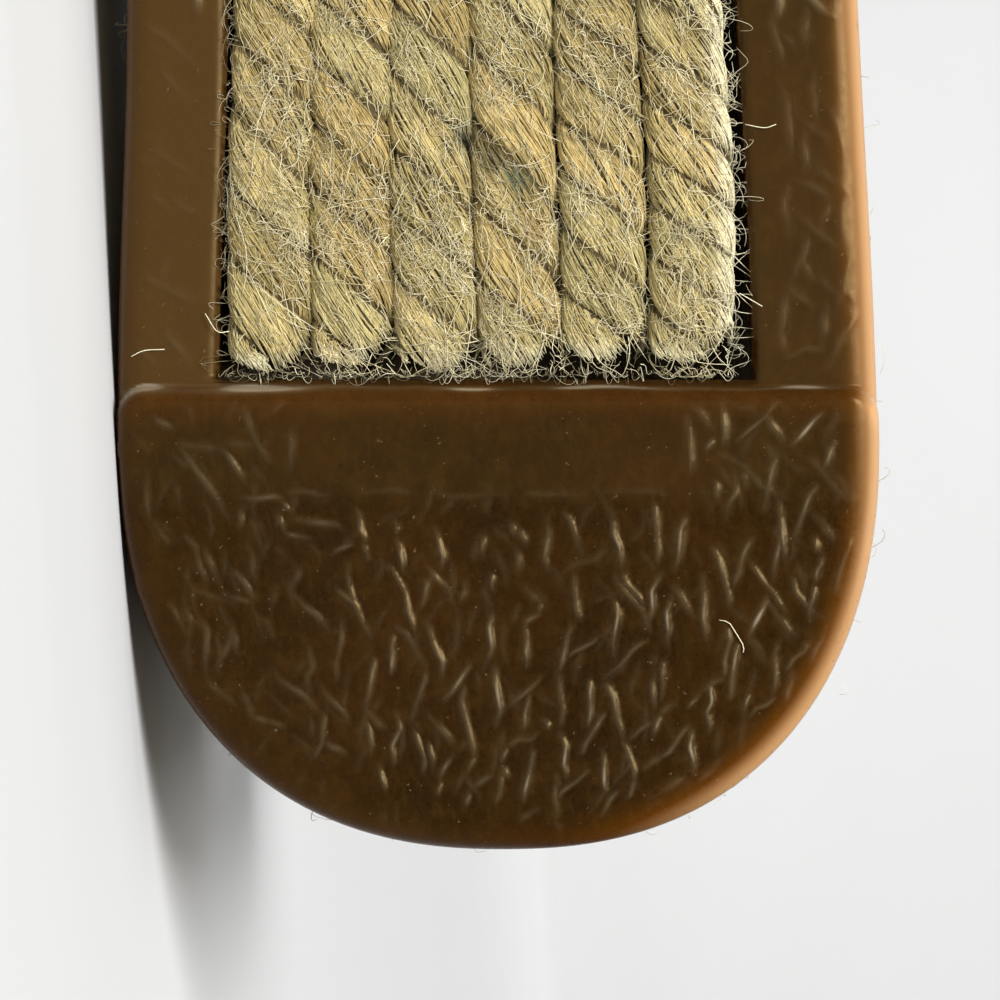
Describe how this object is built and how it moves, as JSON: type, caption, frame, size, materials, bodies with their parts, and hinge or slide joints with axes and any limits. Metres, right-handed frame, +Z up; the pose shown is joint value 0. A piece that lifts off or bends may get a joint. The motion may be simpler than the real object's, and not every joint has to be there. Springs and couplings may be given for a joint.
{
  "type": "espadrille flat",
  "caption": "Slip-on espadrille flat for the right foot: canvas upper, rope midsole, and a gum rubber outsole with a window of laid jute rope under the waist.",
  "frame": {"origin": "middle of the lying shoe's footprint, on the floor", "axes": "+X towards the heel, +Y out of the collar with the underside of the sole facing -Y, +Z up from the floor, away from the outer side of the shoe"},
  "size_m": [0.251, 0.07, 0.0866],
  "materials": {
    "gum_rubber": "dark translucent crepe, satin",
    "jute_rope": "dry, hairy",
    "canvas": "matt plain weave",
    "insole_jute_cloth": "matt coarse weave"
  },
  "bodies": {
    "root": {"outsole": "gum_rubber", "midsole": "jute_rope", "insole": "insole_jute_cloth", "upper": "canvas", "inlay_rope_1": "jute_rope", "inlay_rope_2": "jute_rope", "inlay_rope_3": "jute_rope", "inlay_rope_4": "jute_rope", "inlay_rope_5": "jute_rope", "inlay_rope_6": "jute_rope"}
  },
  "joints": []
}
